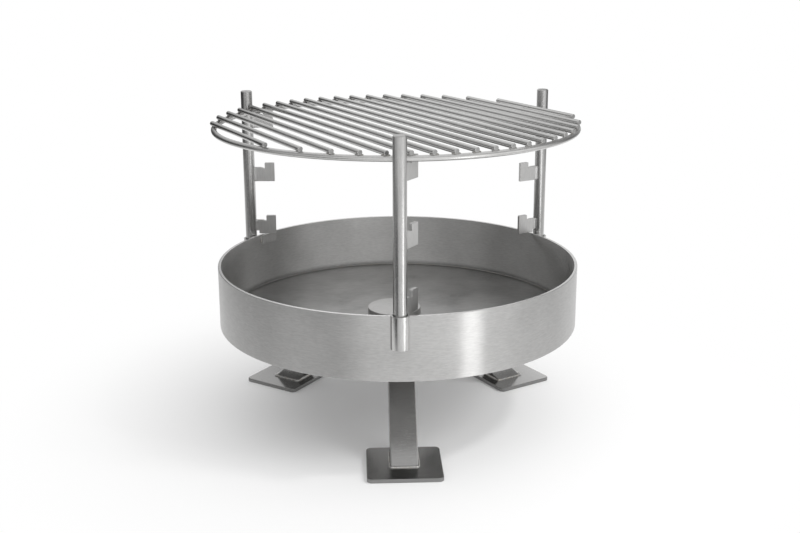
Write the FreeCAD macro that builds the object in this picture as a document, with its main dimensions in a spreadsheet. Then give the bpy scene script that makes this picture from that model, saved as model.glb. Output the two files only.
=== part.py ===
import FreeCAD, Part
import Sketcher
import os

# Fire bowl grill: a round steel bowl on three leaning legs, with three swivelling posts
# in sockets on its wall and a round grate that rests on brackets of the posts.
# The frame's origin is on the bowl's axis at ground level, +Z up, and the front is -Y.

doc = FreeCAD.newDocument("fire_bowl_grill")
sheet = doc.addObject("Spreadsheet::Sheet", "sizes")

# Driving dimensions in millimetres and degrees
DRIVING_SIZES = [
    ("bowl_radius", 300.0, "outer radius of the bowl wall"),
    ("wall_thickness", 5.0, "bowl wall"),
    ("wall_height", 100.0, "bowl wall from its foot to the rim"),
    ("rim_round", 0.8, "broken edges of the rim"),
    ("floor_thickness", 4.0, "bowl floor"),
    ("drain_radius", 28.0, "drain hole in the floor"),
    ("cap_lap", 17.0, "drain cap past the edge of the drain hole"),
    ("cap_height", 11.0, "drain cap above the floor"),
    ("cap_wall", 3.0, "top and skirt of the drain cap"),
    ("cap_round", 1.2, "upper edge of the drain cap"),
    ("cap_shift", -6.0, "drain cap off the bowl's axis, along X"),
    ("tab_width_angle", 7.2, "inner wall tab, as an angle about the bowl's axis"),
    ("tab_angle", 144.2, "middle of the inner wall tab"),
    ("tab_height", 16.5, "inner wall tab below the rim"),
    ("tab_thickness", 4.0, "inner wall tab"),
    ("post_angle_front", -89.4, "front post about the bowl's axis"),
    ("post_angle_left", 148.8, "left post about the bowl's axis"),
    ("post_angle_right", 33.9, "right post about the bowl's axis"),
    ("post_turn_front", -32.0, "front brackets away from pointing at the axis"),
    ("post_turn_left", 32.0, "left brackets away from pointing at the axis"),
    ("post_turn_right", -5.0, "right brackets away from pointing at the axis"),
    ("post_radius", 10.0, "post bar"),
    ("post_above_teeth", 32.3, "post tops above the teeth of the upper brackets"),
    ("post_chamfer", 1.4, "both ends of a post"),
    ("post_depth", 38.5, "posts below the rim, in their sockets"),
    ("socket_length", 50.0, "socket tube"),
    ("socket_rise_front", 6.5, "front socket above the rim"),
    ("socket_rise_left", -7.0, "left socket above the rim"),
    ("socket_rise_right", -7.0, "right socket above the rim"),
    ("socket_wall", 3.0, "socket tube"),
    ("socket_gap", 1.0, "radial clearance of a post in its socket"),
    ("socket_cope", 1.0, "depth of the wall's hollow in the side of a socket"),
    ("plug_thickness", 5.0, "disc in a socket, under the post"),
    ("bracket_thickness", 5.0, "bracket plate"),
    ("bracket_gap", 2.0, "lowest brackets above the rim"),
    ("relief_gap", 1.0, "cut-out of the lowest brackets, clear of the highest socket"),
    ("bracket_pitch", 97.5, "one bracket to the next along the post"),
    ("seat_height", 25.5, "bracket seat above the bracket's foot"),
    ("seat_play", 5.5, "room on the seat between the ring and the tooth"),
    ("seat_fall_length", 6.5, "part of the seat that falls towards the tooth"),
    ("seat_fall_depth", 2.3, "fall of the seat at the tooth"),
    ("seat_round", 8.0, "bend of the seat where it begins to fall"),
    ("tooth_width", 17.0, "tooth, along the bracket"),
    ("tooth_gap", 0.7, "grate rods above the teeth"),
    ("tooth_round", 1.5, "upper corners of the tooth"),
    ("ring_gap", 4.0, "grate ring inside the posts"),
    ("ring_bar_radius", 4.5, "bar of the grate ring"),
    ("ring_clearance", 0.3, "ring above the seats, so that a swivelling bracket stays clear"),
    ("rod_radius", 4.0, "grate rods"),
    ("last_rod_inset", 20.0, "outermost rods from the middle of the ring's bar"),
    ("rod_inset", 2.0, "rod ends inside the ring's outer edge"),
    ("rod_sink", 0.4, "rods welded into the top of the ring"),
    ("rod_chamfer", 0.8, "rod ends"),
    ("grate_angle", 118.5, "direction of the rods from +X"),
    ("grate_shift_x", -2.2, "grate as it lies, off the bowl's axis"),
    ("grate_shift_y", -1.2, "grate as it lies, off the bowl's axis"),
    ("leg_angle_front", -87.8, "front leg about the bowl's axis"),
    ("leg_angle_left", 148.0, "left leg about the bowl's axis"),
    ("leg_angle_right", 32.0, "right leg about the bowl's axis"),
    ("leg_width", 43.0, "leg tube, along the bowl's circle"),
    ("leg_depth", 36.0, "leg tube, square to its width and its length"),
    ("leg_wall", 3.0, "wall of the leg tube"),
    ("leg_corner", 2.5, "long outer edges of the leg tube"),
    ("leg_rise", 158.5, "foot plate to the bowl's underside"),
    ("leg_inset", 46.0, "outer face of a leg on its foot plate, inside the bowl wall's outside"),
    ("leg_top_radius", 95.5, "outer face of a leg under the bowl"),
    ("foot_width", 116.0, "foot plate, along the bowl's circle"),
    ("foot_depth", 108.0, "foot plate, inner to outer edge"),
    ("foot_thickness", 6.0, "foot plate"),
    ("foot_corner", 8.0, "corners of the foot plate"),
    ("foot_edge_round", 1.0, "upper edges of the foot plate"),
    ("foot_inset", 16.0, "middle of a foot plate, inside the outer face of its leg"),
]
for row, (alias, value, meaning) in enumerate(DRIVING_SIZES, start=1):
    sheet.set(f"A{row}", meaning)
    sheet.set(f"B{row}", str(value))
    sheet.setAlias(f"B{row}", alias)
doc.recompute()

STATIONS = ("front", "left", "right")
BRACKET_LEVELS = ("lower", "middle", "upper")
RODS_EACH_SIDE = 9

# Places worked out from the driving dimensions, as expressions
BOWL_BASE = "(sizes.foot_thickness + sizes.leg_rise)"
RIM = f"({BOWL_BASE} + sizes.wall_height)"
FLOOR_TOP = f"({BOWL_BASE} + sizes.floor_thickness)"
WALL_INSIDE = "(sizes.bowl_radius - sizes.wall_thickness)"
CAP_RADIUS = "(sizes.drain_radius + sizes.cap_lap)"
SOCKET_BORE = "(sizes.post_radius + sizes.socket_gap)"
SOCKET_OUTSIDE = f"({SOCKET_BORE} + sizes.socket_wall)"
POST_CIRCLE = f"(sizes.bowl_radius + {SOCKET_OUTSIDE} - sizes.socket_cope)"
POST_FOOT = f"({RIM} - sizes.post_depth)"
RING_RADIUS = f"({POST_CIRCLE} - sizes.post_radius - sizes.ring_gap - sizes.ring_bar_radius)"
SEAT_END = "(sizes.post_radius + sizes.ring_gap + 2 * sizes.ring_bar_radius + sizes.seat_play)"
BRACKET_REACH = f"({SEAT_END} + sizes.tooth_width)"
RING_ABOVE_SEAT = "(sizes.ring_clearance + sizes.ring_bar_radius)"
ROD_FOOT_ABOVE_RING = "(sizes.ring_bar_radius - sizes.rod_sink)"
BRACKET_HEIGHT = f"(sizes.seat_height + {RING_ABOVE_SEAT} + {ROD_FOOT_ABOVE_RING} - sizes.tooth_gap)"
RELIEF_REACH = f"({SOCKET_OUTSIDE} + sizes.relief_gap)"
RELIEF_HEIGHT = "(sizes.socket_rise_front - sizes.bracket_gap + sizes.relief_gap)"
LOWEST_BRACKET = f"({RIM} + sizes.bracket_gap)"
UPPER_BRACKET = f"({LOWEST_BRACKET} + {len(BRACKET_LEVELS) - 1} * sizes.bracket_pitch)"
POST_TOP = f"({UPPER_BRACKET} + {BRACKET_HEIGHT} + sizes.post_above_teeth)"
RING_LEVEL = f"({UPPER_BRACKET} + sizes.seat_height + {RING_ABOVE_SEAT})"
ROD_ABOVE_RING = f"({ROD_FOOT_ABOVE_RING} + sizes.rod_radius)"
ROD_END_RADIUS = f"({RING_RADIUS} + sizes.ring_bar_radius - sizes.rod_inset)"
ROD_PITCH = f"(({RING_RADIUS} - sizes.last_rod_inset) / {RODS_EACH_SIDE})"
LEG_FOOT = "(sizes.bowl_radius - sizes.leg_inset)"
LEG_SLANT = f"(sqrt(({LEG_FOOT} - sizes.leg_top_radius)^2 + sizes.leg_rise^2) / sizes.leg_rise)"
LEG_CUT = f"(sizes.leg_depth * {LEG_SLANT})"
FOOT_MIDDLE = f"({LEG_FOOT} - sizes.foot_inset)"

UP = FreeCAD.Vector(0, 0, 1)
EDGE_TOLERANCE = 0.01
ORIGIN_GEOMETRY = -1
START_POINT = 1
END_POINT = 2
CENTRE_POINT = 3

sub_parts = []


def number(expression):
    """The present value of an expression of the sheet."""
    return float(sheet.evalExpression(expression))


def bind(owner, **sizes):
    """Bind properties of an object to expressions of the sheet."""
    for name, expression in sizes.items():
        owner.setExpression(name, expression)


def place(owner, x="0", y="0", z="0", turn="0"):
    """Bind an object's place, and its turn about the vertical, to the sheet."""
    owner.Placement = FreeCAD.Placement(FreeCAD.Vector(), FreeCAD.Rotation(UP, 1.0))
    owner.setExpression(".Placement.Base.x", x)
    owner.setExpression(".Placement.Base.y", y)
    owner.setExpression(".Placement.Base.z", z)
    owner.setExpression(".Placement.Rotation.Angle", turn)


def new_body(label):
    """A sub-part that is built from sketches and features."""
    body = doc.addObject("PartDesign::Body", label)
    body.Label = label
    sub_parts.append(body)
    return body


def origin_feature(body, role):
    """One of the planes or axes of a body's own origin."""
    return next(item for item in body.Origin.OriginFeatures if item.Role == role)


def new_sketch(body, name, plane):
    """An empty sketch on an origin plane of its body."""
    sketch = body.newObject("Sketcher::SketchObject", f"{body.Label}_{name}")
    sketch.AttachmentSupport = [(origin_feature(body, plane), "")]
    sketch.MapMode = "FlatFace"
    return sketch


def pin_point(sketch, geometry, point, across, up):
    """Bind both coordinates of a sketch point to expressions."""
    for kind, expression in (("DistanceX", across), ("DistanceY", up)):
        size = number(expression)
        rule = sketch.addConstraint(
            Sketcher.Constraint(kind, ORIGIN_GEOMETRY, START_POINT, geometry, point, size)
        )
        sketch.setExpression(f"Constraints[{rule}]", expression)


def draw_outline(sketch, corners):
    """A closed outline of straight lines through corners, each a pair of expressions."""
    points = [FreeCAD.Vector(number(across), number(up), 0) for across, up in corners]
    lines = []
    for start, end in zip(points, points[1:] + points[:1]):
        lines.append(sketch.addGeometry(Part.LineSegment(start, end)))
    for line, following in zip(lines, lines[1:] + lines[:1]):
        sketch.addConstraint(
            Sketcher.Constraint("Coincident", line, END_POINT, following, START_POINT)
        )
    for line, (across, up) in zip(lines, corners):
        pin_point(sketch, line, START_POINT, across, up)


def draw_circle(sketch, radius, across="0", up="0"):
    """A circle whose radius and centre are expressions."""
    centre = FreeCAD.Vector(number(across), number(up), 0)
    circle = sketch.addGeometry(Part.Circle(centre, UP, number(radius)))
    rule = sketch.addConstraint(Sketcher.Constraint("Radius", circle, number(radius)))
    sketch.setExpression(f"Constraints[{rule}]", radius)
    pin_point(sketch, circle, CENTRE_POINT, across, up)


def pad(body, sketch, length, both_ways=False):
    """Extrude a sketch, away from its plane or to both sides of it."""
    feature = body.newObject("PartDesign::Pad", f"{sketch.Name}_pad")
    feature.Profile = sketch
    feature.SideType = "Symmetric" if both_ways else "One side"
    bind(feature, Length=length)
    doc.recompute()
    return feature


def cut(body, sketch, length=None):
    """Cut a sketch out to both sides of its plane, over a length or through the whole body."""
    before = body.Shape.Volume
    feature = body.newObject("PartDesign::Pocket", f"{sketch.Name}_cut")
    feature.Profile = sketch
    feature.SideType = "Symmetric"
    if length:
        bind(feature, Length=length)
    else:
        feature.Type = "ThroughAll"
    doc.recompute()
    if not body.Shape.Volume < before:
        raise RuntimeError(f"{feature.Name} cuts nothing")


def turn_round(body, sketch, kind="PartDesign::Revolution"):
    """Revolve a sketch a full turn about the body's vertical axis, adding or cutting."""
    before = body.Shape.Volume if body.Tip else 0.0
    feature = body.newObject(kind, f"{sketch.Name}_turn")
    feature.Profile = sketch
    feature.ReferenceAxis = (origin_feature(body, "Z_Axis"), [""])
    doc.recompute()
    if kind == "PartDesign::Groove" and not body.Shape.Volume < before:
        raise RuntimeError(f"{feature.Name} cuts nothing")
    return feature


def edge_names(shape, wanted):
    """Names of the edges whose middle and direction pass a test."""
    names = []
    for index, edge in enumerate(shape.Edges, start=1):
        middle = edge.valueAt((edge.FirstParameter + edge.LastParameter) / 2)
        run = edge.valueAt(edge.LastParameter) - edge.valueAt(edge.FirstParameter)
        if wanted(middle, run):
            names.append(f"Edge{index}")
    return names


def soften(body, kind, size, wanted):
    """Round or chamfer the edges of a body's latest feature that pass a test."""
    base = body.Tip
    names = edge_names(base.Shape, wanted)
    if not names:
        raise RuntimeError(f"{body.Label} has no such edge")
    feature = body.newObject(f"PartDesign::{kind}", f"{base.Name}_{kind.lower()}")
    feature.Base = (base, names)
    bind(feature, **{"Radius" if kind == "Fillet" else "Size": size})
    doc.recompute()


def near(value, target):
    """Whether two lengths are equal for the purpose of finding an edge."""
    return abs(value - target) < EDGE_TOLERANCE


def station_place(radius, angle, z="0"):
    """The place on a circle about the bowl's axis, as bound coordinates."""
    return {"x": f"{radius} * cos({angle} * 1deg)", "y": f"{radius} * sin({angle} * 1deg)", "z": z}


# Bowl wall: a rolled strip standing on edge, with its rim's edges broken
def make_bowl_wall():
    body = new_body("bowl_wall")
    sketch = new_sketch(body, "section", "XZ_Plane")
    draw_outline(sketch, [
        (WALL_INSIDE, "0"),
        ("sizes.bowl_radius", "0"),
        ("sizes.bowl_radius", "sizes.wall_height"),
        (WALL_INSIDE, "sizes.wall_height"),
    ])
    turn_round(body, sketch)
    rim = number("sizes.wall_height")
    soften(body, "Fillet", "sizes.rim_round", lambda middle, run: near(middle.z, rim) and run.Length < rim)
    place(body, z=BOWL_BASE)


# Bowl floor: a disc inside the foot of the wall, with a drain hole
def make_bowl_floor():
    body = new_body("bowl_floor")
    disc = new_sketch(body, "disc", "XY_Plane")
    draw_circle(disc, WALL_INSIDE)
    pad(body, disc, "sizes.floor_thickness")
    drain = new_sketch(body, "drain", "XY_Plane")
    draw_circle(drain, "sizes.drain_radius")
    cut(body, drain)
    place(body, z=BOWL_BASE)


# Drain cap: a low inverted cup lying loose over the drain hole
def make_drain_cap():
    body = new_body("drain_cap")
    skirt_inside = f"({CAP_RADIUS} - sizes.cap_wall)"
    top_underside = "(sizes.cap_height - sizes.cap_wall)"
    sketch = new_sketch(body, "section", "XZ_Plane")
    draw_outline(sketch, [
        ("0", top_underside),
        (skirt_inside, top_underside),
        (skirt_inside, "0"),
        (CAP_RADIUS, "0"),
        (CAP_RADIUS, "sizes.cap_height"),
        ("0", "sizes.cap_height"),
    ])
    turn_round(body, sketch)
    top = number("sizes.cap_height")
    edge = number(CAP_RADIUS)
    soften(body, "Fillet", "sizes.cap_round",
           lambda middle, run: near(middle.z, top) and near(middle.x ** 2 + middle.y ** 2, edge ** 2))
    place(body, x="sizes.cap_shift", z=FLOOR_TOP)


# Inner wall tab: a short curved plate against the inside of the wall, level with the rim
def make_inner_wall_tab():
    body = new_body("inner_wall_tab")
    tab_inside = f"({WALL_INSIDE} - sizes.tab_thickness)"
    sketch = new_sketch(body, "section", "XZ_Plane")
    draw_outline(sketch, [
        (tab_inside, "-sizes.tab_height"),
        (WALL_INSIDE, "-sizes.tab_height"),
        (WALL_INSIDE, "0"),
        (tab_inside, "0"),
    ])
    bend = turn_round(body, sketch)
    bind(bend, Angle="sizes.tab_width_angle")
    bend.Midplane = True
    place(body, z=f"({RIM} - sizes.rim_round)", turn="sizes.tab_angle")


# Socket: a tube coped to the wall's outside and bored for its post
def make_socket(station):
    angle = f"sizes.post_angle_{station}"
    foot = f"({RIM} + sizes.socket_rise_{station} - sizes.socket_length)"
    body = new_body(f"socket_{station}")
    outside = new_sketch(body, "outside", "XY_Plane")
    draw_circle(outside, SOCKET_OUTSIDE)
    pad(body, outside, "sizes.socket_length")
    bore = new_sketch(body, "bore", "XY_Plane")
    draw_circle(bore, SOCKET_BORE)
    cut(body, bore)
    cope = new_sketch(body, "cope", "XY_Plane")
    draw_circle(cope, "sizes.bowl_radius", across=f"-{POST_CIRCLE}")
    cut(body, cope)
    place(body, turn=angle, **station_place(POST_CIRCLE, angle, foot))


# Socket plug: a disc welded inside the socket, on which the post stands
def make_socket_plug(station):
    angle = f"sizes.post_angle_{station}"
    body = new_body(f"socket_plug_{station}")
    disc = new_sketch(body, "disc", "XY_Plane")
    draw_circle(disc, SOCKET_BORE)
    pad(body, disc, "sizes.plug_thickness")
    place(body, turn=angle, **station_place(POST_CIRCLE, angle, f"({POST_FOOT} - sizes.plug_thickness)"))


# Post: a round bar, chamfered at both ends
def make_post(station):
    angle = f"sizes.post_angle_{station}"
    body = new_body(f"post_{station}")
    bar = new_sketch(body, "bar", "XY_Plane")
    draw_circle(bar, "sizes.post_radius")
    pad(body, bar, f"{POST_TOP} - {POST_FOOT}")
    rim = number("sizes.post_radius")
    soften(body, "Chamfer", "sizes.post_chamfer", lambda middle, run: run.Length < rim)
    place(body, turn=f"{angle} + 180 + sizes.post_turn_{station}",
          **station_place(POST_CIRCLE, angle, POST_FOOT))


# Bracket: an upright plate coped to its post, with a seat for the ring and a tooth that keeps it.
# The lowest ones are cut out at the foot to swing clear over the sockets.
def make_bracket(station, level_name, level):
    angle = f"sizes.post_angle_{station}"
    body = new_body(f"bracket_{station}_{level_name}")
    seat_fall = f"({SEAT_END} - sizes.seat_fall_length)"
    tooth_foot = "(sizes.seat_height - sizes.seat_fall_depth)"
    foot = [("0", "0")]
    if level == 0:
        foot = [("0", RELIEF_HEIGHT), (RELIEF_REACH, RELIEF_HEIGHT), (RELIEF_REACH, "0")]
    plate = new_sketch(body, "plate", "XZ_Plane")
    draw_outline(plate, foot + [
        (BRACKET_REACH, "0"),
        (BRACKET_REACH, BRACKET_HEIGHT),
        (SEAT_END, BRACKET_HEIGHT),
        (SEAT_END, tooth_foot),
        (seat_fall, "sizes.seat_height"),
        ("0", "sizes.seat_height"),
    ])
    pad(body, plate, "sizes.bracket_thickness", both_ways=True)
    cope = new_sketch(body, "cope", "XY_Plane")
    draw_circle(cope, "sizes.post_radius")
    cut(body, cope)
    tip = number(BRACKET_REACH)
    tooth_start = number(SEAT_END)
    top = number(BRACKET_HEIGHT)
    fall_start = number(seat_fall)
    soften(body, "Fillet", "sizes.tooth_round",
           lambda middle, run: near(middle.z, top) and near(run.x, 0.0)
           and (near(middle.x, tip) or near(middle.x, tooth_start)))
    soften(body, "Fillet", "sizes.seat_round",
           lambda middle, run: near(middle.x, fall_start) and near(run.x, 0.0) and near(run.z, 0.0))
    place(body, turn=f"{angle} + 180 + sizes.post_turn_{station}",
          **station_place(POST_CIRCLE, angle,
                          f"{LOWEST_BRACKET} + {level} * sizes.bracket_pitch"))


def leg_outline(inset):
    """The side of a leg, cut level at both ends, drawn in from its two slanting lines."""
    return [
        (f"{LEG_FOOT} - {LEG_CUT} + {inset}", "0"),
        (f"{LEG_FOOT} - {inset}", "0"),
        (f"sizes.leg_top_radius - {inset}", "sizes.leg_rise"),
        (f"sizes.leg_top_radius - {LEG_CUT} + {inset}", "sizes.leg_rise"),
    ]


# Leg: a rectangular tube leaning inwards, both ends cut level and closed by what they are welded to
def make_leg(station):
    body = new_body(f"leg_{station}")
    side = new_sketch(body, "side", "XZ_Plane")
    draw_outline(side, leg_outline("0"))
    pad(body, side, "sizes.leg_width", both_ways=True)
    rise = number("sizes.leg_rise")
    soften(body, "Fillet", "sizes.leg_corner", lambda middle, run: near(abs(run.z), rise))
    hollow = new_sketch(body, "hollow", "XZ_Plane")
    draw_outline(hollow, leg_outline(f"sizes.leg_wall * {LEG_SLANT}"))
    cut(body, hollow, "sizes.leg_width - 2 * sizes.leg_wall")
    place(body, z="sizes.foot_thickness", turn=f"sizes.leg_angle_{station}")


# Foot plate: a flat plate with rounded corners and broken upper edges
def make_foot_plate(station):
    body = new_body(f"foot_plate_{station}")
    half = "(sizes.foot_width / 2)"
    inner = f"({FOOT_MIDDLE} - sizes.foot_depth / 2)"
    outer = f"({FOOT_MIDDLE} + sizes.foot_depth / 2)"
    plate = new_sketch(body, "plate", "XY_Plane")
    draw_outline(plate, [
        (inner, f"-{half}"),
        (outer, f"-{half}"),
        (outer, half),
        (inner, half),
    ])
    pad(body, plate, "sizes.foot_thickness")
    thickness = number("sizes.foot_thickness")
    soften(body, "Fillet", "sizes.foot_corner", lambda middle, run: near(abs(run.z), thickness))
    soften(body, "Fillet", "sizes.foot_edge_round", lambda middle, run: near(middle.z, thickness))
    place(body, turn=f"sizes.leg_angle_{station}")


# Grate ring: a round bar bent into a ring
def make_grate_ring():
    ring = doc.addObject("Part::Torus", "grate_ring")
    ring.Label = "grate_ring"
    sub_parts.append(ring)
    bind(ring, Radius1=RING_RADIUS, Radius2="sizes.ring_bar_radius")
    place(ring, x="sizes.grate_shift_x", y="sizes.grate_shift_y", z=RING_LEVEL)


# Grate rod: a straight bar across the ring, notched where it is welded into the ring's top
def make_grate_rod(number_from_left, steps_from_middle):
    body = new_body(f"grate_rod_{number_from_left:02d}")
    offset = f"({steps_from_middle} * {ROD_PITCH})"
    bar = new_sketch(body, "bar", "YZ_Plane")
    draw_circle(bar, "sizes.rod_radius", across=offset, up=ROD_ABOVE_RING)
    pad(body, bar, f"2 * sqrt({ROD_END_RADIUS}^2 - {offset}^2)", both_ways=True)
    thick = 2 * number("sizes.rod_radius")
    soften(body, "Chamfer", "sizes.rod_chamfer", lambda middle, run: run.Length < thick)
    seat = new_sketch(body, "seat", "XZ_Plane")
    draw_circle(seat, "sizes.ring_bar_radius", across=RING_RADIUS)
    turn_round(body, seat, "PartDesign::Groove")
    place(body, x="sizes.grate_shift_x", y="sizes.grate_shift_y", z=RING_LEVEL, turn="sizes.grate_angle")


def check_document():
    """Stop unless every object is sound and every sub-part is one valid solid."""
    for item in doc.Objects:
        if "Invalid" in item.State or "Error" in item.State:
            raise RuntimeError(f"{item.Label} failed: {item.State}")
    for item in sub_parts:
        shape = item.Shape
        if shape.isNull() or not shape.isValid() or len(shape.Solids) != 1:
            raise RuntimeError(f"{item.Label} is not one valid solid")


make_bowl_wall()
make_bowl_floor()
make_drain_cap()
make_inner_wall_tab()
for station in STATIONS:
    make_socket(station)
    make_socket_plug(station)
    make_post(station)
    for level, level_name in enumerate(BRACKET_LEVELS):
        make_bracket(station, level_name, level)
    make_leg(station)
    make_foot_plate(station)
make_grate_ring()
for rod_number, steps in enumerate(range(RODS_EACH_SIDE, -RODS_EACH_SIDE - 1, -1), start=1):
    make_grate_rod(rod_number, steps)

doc.recompute()
check_document()
os.makedirs("parts", exist_ok=True)
for item in sub_parts:
    item.Shape.exportStep(f"parts/{item.Label}.step")
    print(item.Label, round(item.Shape.Volume), "mm3")
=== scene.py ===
import math
from collections import namedtuple

import bmesh
import bpy
from mathutils import Matrix, Vector, noise


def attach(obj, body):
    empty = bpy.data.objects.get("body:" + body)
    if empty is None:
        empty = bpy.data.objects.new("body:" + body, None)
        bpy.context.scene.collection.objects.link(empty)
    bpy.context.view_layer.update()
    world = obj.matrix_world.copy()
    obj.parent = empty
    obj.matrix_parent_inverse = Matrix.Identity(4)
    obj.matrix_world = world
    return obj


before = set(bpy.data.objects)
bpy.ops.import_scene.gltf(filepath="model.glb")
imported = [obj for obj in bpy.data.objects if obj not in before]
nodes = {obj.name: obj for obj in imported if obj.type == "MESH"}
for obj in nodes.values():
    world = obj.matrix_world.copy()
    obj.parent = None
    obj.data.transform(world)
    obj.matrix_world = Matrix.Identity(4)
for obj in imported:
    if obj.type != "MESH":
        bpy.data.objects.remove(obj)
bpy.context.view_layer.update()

STATIONS = ("front", "left", "right")

# Places in the row frame, in metres and degrees, repeated from the part's sizes
WALL_INSIDE = 0.295
BOWL_BASE = 0.1645
FLOOR_TOP = 0.1685
RIM = 0.2645
POST_CIRCLE = 0.313
POST_RADIUS = 0.010
POST_ANGLES = {"front": -89.4, "left": 148.8, "right": 33.9}
POST_TURNS = {"front": -32.0, "left": 32.0, "right": -5.0}
SOCKET_FEET = {"front": 0.221, "left": 0.2075, "right": 0.2075}
SOCKET_LENGTH = 0.050
BRACKET_LEVELS = 3
BRACKET_FOOT = 0.2665
BRACKET_PITCH = 0.0975
BRACKET_SEAT = 0.0255
BRACKET_RELIEF = 0.0055
BRACKET_HALF = 0.0025
LEG_ANGLES = {"front": -87.8, "left": 148.0, "right": 32.0}
LEG_HALF_WIDTH = 0.0215
LEG_CUT = 0.0509
LEG_FOOT = 0.254
LEG_TOP = 0.0955
FOOT_TOP = 0.006
GRATE_CENTRE = (-0.0022, -0.0012)
GRATE_ANGLE = 118.5
RING_RADIUS = 0.2945
RING_TOP = 0.4963
ROD_RADIUS = 0.004
ROD_PITCH = 0.0305
ROD_COUNT = 19
TAB_ANGLE = 144.2
TAB_HALF_ANGLE = 3.6
TAB_FOOT = 0.2472
TAB_TOP = 0.2637


def on_circle(radius, degrees, height=0.0, aside=0.0):
    """A point out from the bowl's axis, and aside from that line to its left."""
    a = math.radians(degrees)
    out = Vector((math.cos(a), math.sin(a), 0.0))
    left = Vector((-out.y, out.x, 0.0))
    return out * radius + left * aside + Vector((0.0, 0.0, height))


# Materials

class Graph:
    """A small helper to build the nodes of one tree."""

    def __init__(self, tree):
        self.tree = tree

    def node(self, kind, inputs=(), **settings):
        node = self.tree.nodes.new(kind)
        for key, value in settings.items():
            setattr(node, key, value)
        for key, value in dict(inputs).items():
            self.feed(node.inputs[key], value)
        return node

    def feed(self, socket, value):
        if isinstance(value, bpy.types.NodeSocket):
            self.tree.links.new(value, socket)
        else:
            socket.default_value = value

    def math(self, operation, first, second=0.0, third=0.0):
        inputs = {0: first, 1: second, 2: third}
        return self.node("ShaderNodeMath", inputs, operation=operation).outputs[0]

    def total(self, *values):
        result = values[0]
        for value in values[1:]:
            result = self.math("ADD", result, value)
        return result

    def along(self, x, y, way_x, way_y):
        """How far a point in the ground plane lies along a direction."""
        return self.total(self.math("MULTIPLY", x, way_x), self.math("MULTIPLY", y, way_y))

    def dot(self, first, second):
        inputs = {0: first, 1: second}
        return self.node("ShaderNodeVectorMath", inputs, operation="DOT_PRODUCT").outputs["Value"]

    def place(self):
        return self.node("ShaderNodeTexCoord").outputs["Object"]

    def split(self, vector):
        return self.node("ShaderNodeSeparateXYZ", {0: vector}).outputs

    def join(self, x, y, z):
        return self.node("ShaderNodeCombineXYZ", {0: x, 1: y, 2: z}).outputs[0]

    def noise(self, vector, scale, detail=2.0, roughness=0.5):
        inputs = {"Vector": vector, "Scale": scale, "Detail": detail, "Roughness": roughness}
        return self.node("ShaderNodeTexNoise", inputs).outputs[0]

    def spread(self, value, low, high, out_low, out_high, soft=False):
        inputs = {0: value, 1: low, 2: high, 3: out_low, 4: out_high}
        kind = "SMOOTHSTEP" if soft else "LINEAR"
        return self.node("ShaderNodeMapRange", inputs, interpolation_type=kind).outputs[0]


def new_material(name):
    material = bpy.data.materials.new(name)
    material.use_nodes = True
    return material, Graph(material.node_tree), material.node_tree.nodes["Principled BSDF"]


def around_axis(graph, centre):
    """Lengths along the circle about a vertical axis, out from it, and up."""
    x, y, z = graph.split(graph.place())
    east = graph.math("SUBTRACT", x, centre[0])
    north = graph.math("SUBTRACT", y, centre[1])
    angle = graph.math("ARCTAN2", north, east)
    out = graph.math("SQRT", graph.along(east, north, east, north))
    return graph.math("MULTIPLY", angle, WALL_INSIDE), out, z


BOWL_CENTRE = (0.0, 0.0)


def wall_axes(graph):
    along, out, up = around_axis(graph, BOWL_CENTRE)
    return along, up, out


def ring_axes(graph):
    return around_axis(graph, GRATE_CENTRE)


def upright_axes(graph):
    x, y, z = graph.split(graph.place())
    return z, x, y


def straight_axes(degrees):
    """Axes along and across a direction in the ground plane, and up."""
    c = math.cos(math.radians(degrees))
    s = math.sin(math.radians(degrees))

    def axes(graph):
        x, y, z = graph.split(graph.place())
        return graph.along(x, y, c, s), graph.along(x, y, -s, c), z

    return axes


def across_leg(station):
    return straight_axes(LEG_ANGLES[station] + 90.0)


# Scratches per metre along and across the brushing, fine and wide
FINE_ALONG, FINE_ACROSS, FINE_DETAIL = 60.0, 2600.0, 3.0
WIDE_ALONG, WIDE_ACROSS, WIDE_DETAIL = 75.0, 430.0, 2.0
SCRATCH_CRISPNESS = 0.62
SCRATCH_DEPTH = 0.0004
BLOTCH_SCALE, BLOTCH_DETAIL, BLOTCH_CRISPNESS = 14.0, 3.0, 0.55
# The span of each noise that the tones are spread over
FINE_SPAN = (0.25, 0.75)
COARSE_SPAN = (0.3, 0.7)
# How much the scratches and the blotches change the roughness
SHINE_BY_SCRATCH = 0.05
SHINE_BY_BLOTCH = 0.03
# Edges count as brightened, partly by wear and partly as a painted highlight, and faces as square
# to a direction, between these cosines
EDGE_RADIUS = 0.0007
EDGE_SAMPLES = 4
EDGE_WEAR_AND_HIGHLIGHT_SPAN = (0.80, 0.99)
FACE_SPAN = (0.80, 0.95)
# How far the stretched highlights are turned, as a share of a full turn
BRUSH_TURN = 0.25

# The roughness, and the tone added, of the faces square to a direction, such as cut ends; on the
# rim's top this tone is a painted highlight
Face = namedtuple("Face", "way rough tone")


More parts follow.
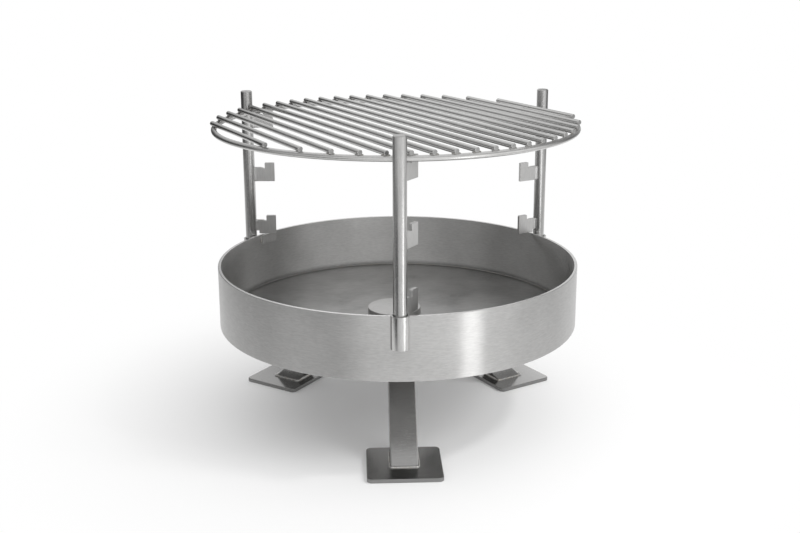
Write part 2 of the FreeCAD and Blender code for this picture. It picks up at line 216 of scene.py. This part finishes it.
def steel(name, base, rough, axes, grain=1.0, bump=0.04, cloud=0.05, streak=0.05, edge_wear_and_highlight=0.25,
          aniso=0.0, face=None, extra=None):
    """Brushed steel: scratches along the first of the axes, cloudy tone, and edges brightened,
    partly as wear and partly as a painted highlight.

    Extra is a function that makes a tone added by place."""
    material, graph, shader = new_material(name)
    along, across, third = axes(graph)

    def scratches(along_scale, across_scale, detail):
        vector = graph.join(
            graph.math("MULTIPLY", along, along_scale * grain),
            graph.math("MULTIPLY", across, across_scale * grain),
            graph.math("MULTIPLY", third, across_scale * grain),
        )
        return graph.noise(vector, 1.0, detail, SCRATCH_CRISPNESS)

    fine = scratches(FINE_ALONG, FINE_ACROSS, FINE_DETAIL)
    wide = scratches(WIDE_ALONG, WIDE_ACROSS, WIDE_DETAIL)
    blotch = graph.noise(graph.place(), BLOTCH_SCALE, BLOTCH_DETAIL, BLOTCH_CRISPNESS)
    bevel = graph.node("ShaderNodeBevel", {"Radius": EDGE_RADIUS}, samples=EDGE_SAMPLES)
    rounded = bevel.outputs[0]
    flat = graph.node("ShaderNodeNewGeometry").outputs["Normal"]
    level = graph.total(
        graph.spread(fine, *FINE_SPAN, 1.0 - streak, 1.0 + streak),
        graph.spread(wide, *COARSE_SPAN, -streak, streak),
        graph.spread(blotch, *COARSE_SPAN, -cloud, cloud),
        # Edges made brighter: partly wear, partly a painted highlight
        graph.spread(graph.dot(rounded, flat), *EDGE_WEAR_AND_HIGHLIGHT_SPAN, edge_wear_and_highlight, 0.0),
        extra(graph) if extra else 0.0,
    )
    shine = graph.total(
        graph.spread(fine, *FINE_SPAN, rough - SHINE_BY_SCRATCH, rough + SHINE_BY_SCRATCH),
        graph.spread(blotch, *COARSE_SPAN, -SHINE_BY_BLOTCH, SHINE_BY_BLOTCH),
    )
    # Faces square to the direction take their own tone: a painted highlight on the rim's top, and
    # partly painted shade at the foot plates' edges
    if face:
        square = graph.math("ABSOLUTE", graph.dot(flat, face.way))
        share = graph.spread(square, *FACE_SPAN, 0.0, 1.0)
        level = graph.math("MULTIPLY_ADD", share, face.tone, level)
        shine = graph.math("MULTIPLY_ADD", share, face.rough - rough, shine)
    colour = graph.node("ShaderNodeVectorMath", {0: base, "Scale": level}, operation="SCALE")
    graph.feed(shader.inputs["Base Color"], colour.outputs[0])
    shader.inputs["Metallic"].default_value = 1.0
    graph.feed(shader.inputs["Roughness"], shine)
    if aniso:
        shader.inputs["Anisotropic"].default_value = aniso
        shader.inputs["Anisotropic Rotation"].default_value = BRUSH_TURN
        tangent = graph.node("ShaderNodeTangent", direction_type="RADIAL", axis="Z")
        graph.feed(shader.inputs["Tangent"], tangent.outputs[0])
    inputs = {"Strength": bump, "Distance": SCRATCH_DEPTH, "Height": fine, "Normal": rounded}
    graph.feed(shader.inputs["Normal"], graph.node("ShaderNodeBump", inputs).outputs[0])
    return material


LUMP_SCALE, LUMP_DETAIL, LUMP_CRISPNESS = 900.0, 3.0, 0.6
LUMP_DEPTH, LUMP_STRENGTH = 0.0003, 0.25
# Lumps make the weld smoother and rougher by this much
LUMP_SMOOTHER, LUMP_ROUGHER = 0.06, 0.08
# Where the heat has turned the metal straw-coloured, how strongly, and the colour
HEAT_SCALE, HEAT_SPAN, HEAT_MOST = 120.0, (0.4, 0.75), 0.6
HEAT_TINT = (1.02, 0.94, 0.82)
# Sockets of the mix node for two colours, and its colour output
MIX_FIRST, MIX_SECOND, MIX_COLOUR = 6, 7, 2


def weld_metal(name, base, rough):
    """Weld metal: fine lumps, dull and bright by turns, a little straw-coloured from the heat."""
    material, graph, shader = new_material(name)
    place = graph.place()
    lumps = graph.noise(place, LUMP_SCALE, LUMP_DETAIL, LUMP_CRISPNESS)
    heat = graph.spread(graph.noise(place, HEAT_SCALE), *HEAT_SPAN, 0.0, HEAT_MOST)
    warm = tuple(channel * shade for channel, shade in zip(base, HEAT_TINT))
    inputs = {"Factor": heat, MIX_FIRST: (*base, 1.0), MIX_SECOND: (*warm, 1.0)}
    mix = graph.node("ShaderNodeMix", inputs, data_type="RGBA")
    graph.feed(shader.inputs["Base Color"], mix.outputs[MIX_COLOUR])
    shader.inputs["Metallic"].default_value = 1.0
    shine = graph.spread(lumps, *COARSE_SPAN, rough - LUMP_SMOOTHER, rough + LUMP_ROUGHER)
    graph.feed(shader.inputs["Roughness"], shine)
    inputs = {"Strength": LUMP_STRENGTH, "Distance": LUMP_DEPTH, "Height": lumps}
    graph.feed(shader.inputs["Normal"], graph.node("ShaderNodeBump", inputs).outputs[0])
    return material


GREY = (0.55, 0.547, 0.54)


def tint(factor):
    return tuple(channel * factor for channel in GREY)


# Painted shade and light added to the bowl: painted shade in the corner of wall and floor, and
# painted light on the wall's inside
PAINTED_CORNER_SHADE = -0.42
CORNER_HEIGHT = 0.010
CORNER_WIDTH = 0.014
PAINTED_INSIDE_LIGHT = 0.18
# The painted shade and light of the inside end between these depths in the wall
INSIDE_END = (0.001, 0.002)


def wall_painted_shade_and_light(graph):
    """Painted light on the inside of the wall, but painted shade in the corner with the floor."""
    _, out, up = around_axis(graph, BOWL_CENTRE)
    corner_top = FLOOR_TOP + CORNER_HEIGHT
    # Painted shade low in the corner, rising to painted light higher up the inside
    tone = graph.spread(up, FLOOR_TOP, corner_top, PAINTED_CORNER_SHADE, PAINTED_INSIDE_LIGHT, soft=True)
    inside = graph.spread(out, *(WALL_INSIDE + depth for depth in INSIDE_END), 1.0, 0.0)
    return graph.math("MULTIPLY", tone, inside)


def floor_painted_corner_shade(graph):
    """Painted shade in the corner with the wall."""
    _, out, _ = around_axis(graph, BOWL_CENTRE)
    return graph.spread(out, WALL_INSIDE - CORNER_WIDTH, WALL_INSIDE, 0.0, PAINTED_CORNER_SHADE, soft=True)


UP = (0.0, 0.0, 1.0)
ROD_WAY = tuple(on_circle(1.0, GRATE_ANGLE))

# The finish of each kind of node, by the start of its name; the longest start counts
PLAIN_FINISHES = {
    # The rim's top face and the wall's rounded edges are painted brighter, a painted highlight
    # along the rim; the extra tone adds painted shade in the corner and painted light on the
    # inside
    "bowl_wall": steel(
        "wall_steel", tint(1.0), rough=0.35, axes=wall_axes, grain=1.5, bump=0.06, cloud=0.08,
        streak=0.08, edge_wear_and_highlight=0.65, aniso=1.0, face=Face(UP, rough=0.20, tone=0.75), extra=wall_painted_shade_and_light,
    ),
    "inner_wall_tab": steel("tab_steel", tint(1.15), rough=0.45, axes=upright_axes),
    # The bowl's floor gets painted shade in its corner with the wall
    "bowl_floor": steel(
        "floor_steel", tint(0.76), rough=0.32, axes=straight_axes(8.0), cloud=0.16, streak=0.10,
        extra=floor_painted_corner_shade,
    ),
    "drain_cap": steel("cap_steel", tint(1.1), rough=0.32, axes=straight_axes(20.0)),
    "socket": steel("socket_steel", tint(1.0), rough=0.19, axes=upright_axes),
    "socket_plug": steel("plug_steel", tint(0.7), rough=0.40, axes=straight_axes(0.0)),
    "post": steel(
        "post_steel", tint(0.86), rough=0.26, axes=upright_axes,
        face=Face(UP, rough=0.42, tone=-0.05),
    ),
    "bracket": steel("bracket_steel", tint(1.08), rough=0.38, axes=upright_axes),
    "grate_ring": steel("ring_steel", tint(1.05), rough=0.28, axes=ring_axes),
    "grate_rod": steel(
        "rod_steel", tint(0.98), rough=0.19, axes=straight_axes(GRATE_ANGLE),
        face=Face(ROD_WAY, rough=0.55, tone=-0.35),
    ),
}
STATION_FINISHES = {
    # The foot plates' tops are painted lighter than their sides: the sides are partly real dark
    # cut edges and partly painted contact shade
    "foot_plate": {
        s: steel(
            f"foot_steel_{s}", tint(0.5), rough=0.45, axes=across_leg(s),
            face=Face(UP, rough=0.20, tone=0.55),
        )
        for s in STATIONS
    },
    "leg": {
        s: steel(f"leg_steel_{s}", tint(0.70), rough=0.22, axes=across_leg(s)) for s in STATIONS
    },
}
weld_bright = weld_metal("weld_bright", tint(1.05), rough=0.26)
weld_dull = weld_metal("weld_dull", tint(0.6), rough=0.42)

for node_name in nodes:
    kinds = [kind for kind in (*PLAIN_FINISHES, *STATION_FINISHES) if node_name.startswith(kind)]
    kind = max(kinds, key=len)
    if kind in PLAIN_FINISHES:
        finish = PLAIN_FINISHES[kind]
    else:
        finish = STATION_FINISHES[kind][node_name.split("_")[-1]]
    for slot in nodes[node_name].material_slots:
        slot.material = finish


# Welds

BEAD_STEP = 0.0009
BEAD_FEWEST_STEPS = 4
BEAD_SIDES = 10
# Ripples and unevenness as shares of the bead's radius, and the square of the least share at ends
BEAD_RIPPLE, RIPPLE_PITCH = 0.10, 0.0032
BEAD_UNEVEN, UNEVEN_SCALE = 0.10, 160.0
BEAD_END_LEAST = 0.02
# A direction that no bead runs along
ASKANCE = Vector((0.31, 0.17, 0.94))


def uneven(place, scale, seed):
    """A smooth height by place; the seed only keeps one weld from being like the next."""
    return noise.noise(place * scale + Vector((seed, 0.0, 0.0)))


def resample(path, closed):
    """Points at even steps along a line, and the length run to each."""
    corners = list(path) + ([path[0]] if closed else [])
    runs = [0.0]
    for first, second in zip(corners, corners[1:]):
        runs.append(runs[-1] + (second - first).length)
    count = max(BEAD_FEWEST_STEPS, round(runs[-1] / BEAD_STEP))
    points, lengths, leg = [], [], 0
    for index in range(count if closed else count + 1):
        run = runs[-1] * index / count
        while leg < len(runs) - 2 and run > runs[leg + 1]:
            leg += 1
        span = runs[leg + 1] - runs[leg]
        points.append(corners[leg].lerp(corners[leg + 1], (run - runs[leg]) / span))
        lengths.append(run)
    return points, lengths


def join_rings(shape, first, second):
    for index in range(len(first)):
        after = (index + 1) % len(first)
        shape.faces.new((first[index], first[after], second[after], second[index]))


def add_bead(shape, path, radius, seed, closed=False):
    """A weld bead along a line: rippled, uneven, and rounded off at open ends."""
    points, lengths = resample(path, closed)
    count = len(points)
    rings = []
    for index, point in enumerate(points):
        before = points[index - 1] if closed or index else point
        after = points[(index + 1) % count] if closed or index < count - 1 else point
        tangent = (after - before).normalized()
        side = tangent.cross(ASKANCE).normalized()
        lift = side.cross(tangent)
        wave = math.cos(2.0 * math.pi * lengths[index] / RIPPLE_PITCH)
        chance = uneven(point, UNEVEN_SCALE, seed)
        thick = radius * (1.0 + BEAD_RIPPLE * wave + BEAD_UNEVEN * chance)
        if not closed:
            near_end = min(lengths[index], lengths[-1] - lengths[index]) / radius
            thick *= math.sqrt(max(BEAD_END_LEAST, 1.0 - max(0.0, 1.0 - near_end) ** 2))
        ring = []
        for step in range(BEAD_SIDES):
            turn = 2.0 * math.pi * step / BEAD_SIDES
            way = side * math.cos(turn) + lift * math.sin(turn)
            ring.append(shape.verts.new(point + way * thick))
        rings.append(ring)
    for first, second in zip(rings, rings[1:]):
        join_rings(shape, first, second)
    if closed:
        join_rings(shape, rings[-1], rings[0])
    else:
        shape.faces.new(list(reversed(rings[0])))
        shape.faces.new(rings[-1])


TACK_ROUNDS = 3
TACK_LUMPS = 0.16
TACK_LUMP_SCALE = 1.7
TACK_SEED_SLANT = 0.37


def add_tack(shape, centre, along, radius, length, seed):
    """A short lump of weld metal, longer one way than the other."""
    made = bmesh.ops.create_icosphere(shape, subdivisions=TACK_ROUNDS, radius=1.0)["verts"]
    along = along.normalized()
    shift = Vector((seed, seed * TACK_SEED_SLANT, 0.0))
    for vert in made:
        way = vert.co.copy()
        lump = 1.0 + TACK_LUMPS * noise.noise(way * TACK_LUMP_SCALE + shift)
        stretch = along * way.dot(along) * (length - radius)
        vert.co = centre + (way * radius + stretch) * lump


def add_piece(name, shape, material, body):
    """Turns a bmesh into a piece that rides on a body."""
    bmesh.ops.recalc_face_normals(shape, faces=shape.faces[:])
    mesh = bpy.data.meshes.new(name)
    shape.to_mesh(mesh)
    shape.free()
    for face in mesh.polygons:
        face.use_smooth = True
    mesh.materials.append(material)
    piece = bpy.data.objects.new(name, mesh)
    bpy.context.scene.collection.objects.link(piece)
    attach(piece, body)


LEG_BEAD = 0.0018
# How far the bead's middle lies off the leg's faces and off the plate it meets
LEG_BEAD_OFF = 0.0006
LEG_BEAD_CORNER = 0.0030
LEG_CORNER_STEPS = 4
LEG_SEED_STEP, LEG_TOP_SEED = 3.0, 11.0


def leg_loop(station, outer, height):
    """The line round a leg's end, a little outside its faces, with rounded corners."""
    half = LEG_HALF_WIDTH + LEG_BEAD_OFF
    near = outer - LEG_CUT - LEG_BEAD_OFF
    far = outer + LEG_BEAD_OFF
    loop = []
    corners = ((far, half, 0), (near, half, 90), (near, -half, 180), (far, -half, 270))
    for radial, aside, start in corners:
        inward_r = -LEG_BEAD_CORNER if radial == far else LEG_BEAD_CORNER
        inward_a = -LEG_BEAD_CORNER if aside > 0 else LEG_BEAD_CORNER
        for step in range(LEG_CORNER_STEPS + 1):
            turn = math.radians(start + 90.0 * step / LEG_CORNER_STEPS)
            r = radial + inward_r + LEG_BEAD_CORNER * math.cos(turn)
            t = aside + inward_a + LEG_BEAD_CORNER * math.sin(turn)
            loop.append(on_circle(r, LEG_ANGLES[station], height, t))
    return loop


shape = bmesh.new()
for index, station in enumerate(STATIONS):
    foot_loop = leg_loop(station, LEG_FOOT, FOOT_TOP + LEG_BEAD_OFF)
    top_loop = leg_loop(station, LEG_TOP, BOWL_BASE - LEG_BEAD_OFF)
    add_bead(shape, foot_loop, LEG_BEAD, LEG_SEED_STEP * index, closed=True)
    add_bead(shape, top_loop, LEG_BEAD, LEG_SEED_STEP * index + LEG_TOP_SEED, closed=True)
add_piece("leg_welds", shape, weld_bright, "bowl")

SOCKET_BEAD = 0.0026
SOCKET_BEAD_ASIDE = 0.0078
SOCKET_BEAD_OUT = 0.3015
# The beads stop this far from the socket's foot, and from the rim or the socket's top
SOCKET_BEAD_FOOT_GAP = 0.0015
SOCKET_BEAD_TOP_GAP = 0.0005
SOCKET_SEED_STEP = 5.0

shape = bmesh.new()
for index, station in enumerate(STATIONS):
    foot = SOCKET_FEET[station] + SOCKET_BEAD_FOOT_GAP
    top = min(SOCKET_FEET[station] + SOCKET_LENGTH, RIM) - SOCKET_BEAD_TOP_GAP
    for side in (-1, 1):
        aside = side * SOCKET_BEAD_ASIDE
        ends = [on_circle(SOCKET_BEAD_OUT, POST_ANGLES[station], z, aside) for z in (foot, top)]
        add_bead(shape, ends, SOCKET_BEAD, SOCKET_SEED_STEP * index + side)
add_piece("socket_welds", shape, weld_bright, "bowl")

# The brackets' welds are ground to smooth hollow fillets against the post
BLEND_RADIUS = 0.005
BLEND_STEPS = 8
BLEND_RINGS = 12
BLEND_BITE = 0.0012
BLEND_END_GAP = 0.0003
BLEND_UNEVEN, BLEND_UNEVEN_SCALE = 0.00012, 220.0
BLEND_SEED_STEP, BLEND_SIDE_SEED = 7.0, 0.5


def add_blend(shape, post, facing, foot, top, side, seed):
    """A hollow fillet up one side of a bracket, sunk a little into the plate and the post."""
    off = BRACKET_HALF + BLEND_RADIUS
    centre = Vector((math.sqrt((POST_RADIUS + BLEND_RADIUS) ** 2 - off ** 2), off))
    start = -math.pi / 2
    end = math.atan2(-centre.y, -centre.x)
    outline = []
    for step in range(BLEND_STEPS + 1):
        turn = start + (end - start) * step / BLEND_STEPS
        outline.append(centre + BLEND_RADIUS * Vector((math.cos(turn), math.sin(turn))))
    outline.append(outline[-1] * (1.0 - BLEND_BITE / POST_RADIUS))
    outline.append(Vector((POST_RADIUS - BLEND_BITE, BRACKET_HALF - BLEND_BITE)))
    outline.append(outline[0] - Vector((0.0, BLEND_BITE)))
    rings = []
    for level in range(BLEND_RINGS + 1):
        height = foot + (top - foot) * level / BLEND_RINGS
        ring = []
        for index, spot in enumerate(outline):
            place = post + on_circle(spot.x, facing, height, side * spot.y)
            if 0 < index < BLEND_STEPS:
                rise = BLEND_UNEVEN * uneven(place, BLEND_UNEVEN_SCALE, seed)
                place += on_circle(rise, facing)
            ring.append(shape.verts.new(place))
        rings.append(ring)
    for lower, upper in zip(rings, rings[1:]):
        join_rings(shape, lower, upper)
    shape.faces.new(rings[0])
    shape.faces.new(list(reversed(rings[-1])))


for index, station in enumerate(STATIONS):
    shape = bmesh.new()
    post = on_circle(POST_CIRCLE, POST_ANGLES[station])
    facing = POST_ANGLES[station] + 180.0 + POST_TURNS[station]
    for level in range(BRACKET_LEVELS):
        base = BRACKET_FOOT + BRACKET_PITCH * level
        foot = base + BLEND_END_GAP + (BRACKET_RELIEF if level == 0 else 0.0)
        top = base + BRACKET_SEAT - BLEND_END_GAP
        for side in (-1, 1):
            seed = BLEND_SEED_STEP * index + level + BLEND_SIDE_SEED * side
            add_blend(shape, post, facing, foot, top, side, seed)
    finish = PLAIN_FINISHES["bracket"]
    add_piece(f"bracket_welds_{station}", shape, finish, f"{station}_post")

SEAM_BEAD = 0.0014
SEAM_POINTS = 360
# How far the seam bead's middle lies off the wall and off the floor
SEAM_OFF_WALL = 0.0005
SEAM_OFF_FLOOR = 0.0004
SEAM_SEED = 21.0

shape = bmesh.new()
seam = [
    on_circle(WALL_INSIDE - SEAM_OFF_WALL, 360.0 * i / SEAM_POINTS, FLOOR_TOP + SEAM_OFF_FLOOR)
    for i in range(SEAM_POINTS)
]
add_bead(shape, seam, SEAM_BEAD, SEAM_SEED, closed=True)
add_piece("floor_seam_weld", shape, weld_dull, "bowl")

TACK_RADIUS = 0.0020
TACK_LENGTH = 0.0034
TACK_ASIDE = 0.92 * ROD_RADIUS
TACK_ROD_SEED, TACK_END_SEED, TACK_SIDE_SEED = 1.3, 0.7, 0.21

shape = bmesh.new()
rod_way = on_circle(1.0, GRATE_ANGLE)
rod_side = on_circle(1.0, GRATE_ANGLE + 90.0)
ring_centre = Vector((*GRATE_CENTRE, RING_TOP))
for rod in range(ROD_COUNT):
    offset = (rod - (ROD_COUNT - 1) / 2) * ROD_PITCH
    reach = math.sqrt(RING_RADIUS ** 2 - offset ** 2)
    for end in (-1, 1):
        crossing = rod_side * offset + rod_way * (end * reach)
        ring_way = Vector((-crossing.y, crossing.x, 0.0))
        for side in (-1, 1):
            spot = crossing + rod_side * (side * TACK_ASIDE)
            place = ring_centre + spot.normalized() * RING_RADIUS
            seed = rod * TACK_ROD_SEED + end * TACK_END_SEED + side * TACK_SIDE_SEED
            add_tack(shape, place, ring_way, TACK_RADIUS, TACK_LENGTH, seed)
add_piece("grate_welds", shape, weld_dull, "grate")

TAB_BEAD = 0.0016
# How far the beads' middles lie aside of the tab, in degrees, and off the wall
TAB_BEAD_ASIDE = 0.1
TAB_BEAD_OFF_WALL = 0.0006
TAB_BEAD_FOOT_GAP = 0.002
TAB_BEAD_TOP_GAP = 0.004
TAB_SEED = 31.0

shape = bmesh.new()
for side in (-1, 1):
    angle = TAB_ANGLE + side * (TAB_HALF_ANGLE + TAB_BEAD_ASIDE)
    heights = (TAB_FOOT + TAB_BEAD_FOOT_GAP, TAB_TOP - TAB_BEAD_TOP_GAP)
    ends = [on_circle(WALL_INSIDE - TAB_BEAD_OFF_WALL, angle, z) for z in heights]
    add_bead(shape, ends, TAB_BEAD, TAB_SEED + side)
add_piece("tab_welds", shape, weld_bright, "bowl")


# Stage: floor, surround, world, lamps and camera

def make_stage_piece(name, shape, height, build):
    """A stage mesh with a material whose nodes the given function makes."""
    mesh = bpy.data.meshes.new(name)
    shape.to_mesh(mesh)
    shape.free()
    piece = bpy.data.objects.new(name, mesh)
    piece.location.z = height
    bpy.context.scene.collection.objects.link(piece)
    material = bpy.data.materials.new(name)
    material.use_nodes = True
    material.node_tree.nodes.clear()
    graph = Graph(material.node_tree)
    output = graph.node("ShaderNodeOutputMaterial")
    graph.feed(output.inputs["Surface"], build(graph))
    mesh.materials.append(material)
    return piece


def seen_rays(graph):
    """1 for what is seen straight, in a reflection or through glass, and 0 for light cast."""
    path = graph.node("ShaderNodeLightPath").outputs
    direct = graph.math("MAXIMUM", path["Is Camera Ray"], path["Is Glossy Ray"])
    return graph.math("MAXIMUM", direct, path["Is Transmission Ray"])


FLOOR_SIZE = 14.0
FLOOR_DROP = -0.0006
FLOOR_COLOUR = (0.92, 0.92, 0.92, 1.0)
# The floor turns from shaded pale to plain white between these distances from the bowl's axis
FADE_START, FADE_END, FADE_LEAST = 0.12, 0.70, 0.05


def floor_shader(graph):
    length = graph.node("ShaderNodeVectorMath", {0: graph.place()}, operation="LENGTH")
    distance = length.outputs["Value"]
    fade = graph.spread(distance, FADE_START, FADE_END, FADE_LEAST, 1.0, soft=True)
    matt = graph.node("ShaderNodeBsdfDiffuse", {"Color": FLOOR_COLOUR}).outputs[0]
    white = graph.node("ShaderNodeEmission", {"Strength": 1.0}).outputs[0]
    share = graph.math("MULTIPLY", fade, seen_rays(graph))
    return graph.node("ShaderNodeMixShader", {"Fac": share, 1: matt, 2: white}).outputs[0]


def make_floor():
    shape = bmesh.new()
    bmesh.ops.create_grid(shape, x_segments=2, y_segments=2, size=FLOOR_SIZE)
    make_stage_piece("stage_floor", shape, FLOOR_DROP, floor_shader)


SURROUND_RADIUS = 0.85
SURROUND_HEIGHT = 1.25
SURROUND_SEGMENTS = 96
# The soft boxes stand in three tiers, which pass into each other between these heights
LOW_TO_MIDDLE = (0.20, 0.40)
MIDDLE_TO_HIGH = (0.60, 0.80)
# Each tier's strengths, at even steps of azimuth from the left side on through the front
LOW_BOXES = (
    0.46, 0.24, 0.25, 0.0, 0.8, 1.0, 1.3, 1.04, 0.69,
    0.75, 0.98, 0.98, 1.45, 0.55, 0.05, 1.0, 0.87, 0.65,
)
MIDDLE_BOXES = (0.05, 0.65, 1.0, 1.2, 1.1, 0.15, 0.6, 0.8, 0.05)
HIGH_BOXES = (0.55, 0.35, 0.7, 0.7, 0.55, 0.3, 0.4, 1.1, 0.65)
# A bright upright strip in the low tier, in degrees
STRIP_AZIMUTH = -53.4
STRIP_HALF_WIDTH = 3.7
STRIP_SOFT_EDGE = 3.0
STRIP_STRENGTH = 2.4
# Strength of the sky overhead in reflections, and what is added towards each side
SKY_TOP = 0.75
SKY_SIDES = (
    ((0.0, -1.0), 0.45),
    ((0.0, 1.0), 0.4),
    ((1.0, 0.0), 0.25),
)
WORLD_FILL = 0.82
WHITE = (1.0, 1.0, 1.0, 1.0)


def surround_shader(graph):
    x, y, z = graph.split(graph.place())
    half = SURROUND_HEIGHT / 2

    def above(heights):
        start, end = heights
        return graph.spread(z, start - half, end - half, 0.0, 1.0, soft=True)

    def angle_from(azimuth):
        a = math.radians(azimuth)
        way = (math.cos(a) / SURROUND_RADIUS, math.sin(a) / SURROUND_RADIUS)
        return graph.math("ARCCOSINE", graph.math("MINIMUM", graph.along(x, y, *way), 1.0))

    above_low, above_middle = above(LOW_TO_MIDDLE), above(MIDDLE_TO_HIGH)
    in_low = graph.math("SUBTRACT", 1.0, above_low)
    tiers = (
        (LOW_BOXES, in_low),
        (MIDDLE_BOXES, graph.math("SUBTRACT", above_low, above_middle)),
        (HIGH_BOXES, above_middle),
    )
    inner = math.radians(STRIP_HALF_WIDTH)
    outer = math.radians(STRIP_HALF_WIDTH + STRIP_SOFT_EDGE)
    strip = graph.spread(angle_from(STRIP_AZIMUTH), inner, outer, STRIP_STRENGTH, 0.0, soft=True)
    level = graph.math("MULTIPLY", strip, in_low)
    for boxes, in_tier in tiers:
        step = 360.0 / len(boxes)
        tier = 0.0
        for index, strength in enumerate(boxes):
            away = angle_from(step * index - 180.0)
            share = graph.spread(away, 0.0, math.radians(step), strength, 0.0, soft=True)
            tier = graph.math("ADD", share, tier)
        level = graph.math("MULTIPLY_ADD", tier, in_tier, level)
    return graph.node("ShaderNodeEmission", {"Strength": level}).outputs[0]


def make_surround():
    """A ring of soft boxes round the object, which only reflections see."""
    shape = bmesh.new()
    bmesh.ops.create_cone(
        shape, cap_ends=False, segments=SURROUND_SEGMENTS,
        radius1=SURROUND_RADIUS, radius2=SURROUND_RADIUS, depth=SURROUND_HEIGHT,
    )
    surround = make_stage_piece("stage_surround", shape, SURROUND_HEIGHT / 2, surround_shader)
    surround.visible_camera = False
    surround.visible_diffuse = False
    surround.visible_shadow = False


def make_world():
    """White behind the object, a soft sky in reflections, and an even fill for the rest."""
    world = bpy.data.worlds.new("studio")
    bpy.context.scene.world = world
    world.use_nodes = True
    background = world.node_tree.nodes["Background"]
    background.inputs["Color"].default_value = WHITE
    graph = Graph(world.node_tree)
    east, north, _ = graph.split(graph.node("ShaderNodeTexCoord").outputs["Generated"])
    sky = SKY_TOP
    for toward, gain in SKY_SIDES:
        slope = graph.math("MAXIMUM", graph.along(east, north, *toward), 0.0)
        sky = graph.math("MULTIPLY_ADD", slope, gain, sky)
    path = graph.node("ShaderNodeLightPath").outputs
    straight = graph.math("MAXIMUM", path["Is Camera Ray"], path["Is Transmission Ray"])
    not_glossy = graph.math("SUBTRACT", 1.0, path["Is Glossy Ray"])
    fill = graph.math("MULTIPLY", not_glossy, WORLD_FILL)
    shown = graph.math("MULTIPLY_ADD", path["Is Glossy Ray"], sky, fill)
    graph.feed(background.inputs["Strength"], graph.math("MAXIMUM", shown, straight))


# Two square lamps at one azimuth, where 0 is to the right and -90 to the front
Lamp = namedtuple("Lamp", "name elevation size power")
LAMPS = (
    Lamp("key", elevation=51.0, size=0.25, power=11.0),
    Lamp("fill", elevation=32.0, size=0.9, power=23.4),
)
LAMP_AZIMUTH = -26.0
LAMP_DISTANCE = 2.6
LAMP_TARGET = Vector((0.0, 0.0, 0.2))


def make_lamp(lamp):
    """A lamp aimed at the bowl; reflections don't show it, so it lights matt surfaces only."""
    light = bpy.data.lights.new(lamp.name, "AREA")
    light.shape = "RECTANGLE"
    light.size = lamp.size
    light.size_y = lamp.size
    light.energy = lamp.power
    holder = bpy.data.objects.new(lamp.name, light)
    holder.visible_camera = False
    holder.visible_glossy = False
    bpy.context.scene.collection.objects.link(holder)
    a = math.radians(LAMP_AZIMUTH)
    e = math.radians(lamp.elevation)
    out = Vector((math.cos(a) * math.cos(e), math.sin(a) * math.cos(e), math.sin(e)))
    holder.location = LAMP_TARGET + LAMP_DISTANCE * out
    holder.rotation_euler = out.to_track_quat("Z", "Y").to_euler()


def make_camera():
    """The photograph's camera, fitted to the bowl, posts, grate and feet."""
    focal_pixels = 1093.67
    image_width = 800.0
    pitch = 0.2493
    pan = 0.0023
    roll = -0.0022
    principal_drop = 41.5
    distance = 1.7771
    height = 0.6102
    camera = bpy.data.cameras.new("camera")
    camera.sensor_fit = "HORIZONTAL"
    camera.sensor_width = 36.0
    camera.lens = focal_pixels * camera.sensor_width / image_width
    camera.shift_y = -principal_drop / image_width
    camera.clip_start = 0.05
    holder = bpy.data.objects.new("camera", camera)
    bpy.context.scene.collection.objects.link(holder)
    level = math.cos(pitch)
    forward = Vector((math.sin(pan) * level, math.cos(pan) * level, -math.sin(pitch)))
    right = Vector((math.cos(pan), -math.sin(pan), 0.0))
    up = right.cross(forward)
    across = math.cos(roll) * right + math.sin(roll) * up
    upright = math.cos(roll) * up - math.sin(roll) * right
    turn = Matrix((across, upright, -forward)).transposed()
    holder.matrix_world = Matrix.Translation((0.0, -distance, BOWL_BASE + height)) @ turn.to_4x4()
    bpy.context.scene.camera = holder


make_floor()
make_surround()
make_world()
for lamp in LAMPS:
    make_lamp(lamp)
make_camera()

scene = bpy.context.scene
scene.view_settings.view_transform = "Standard"
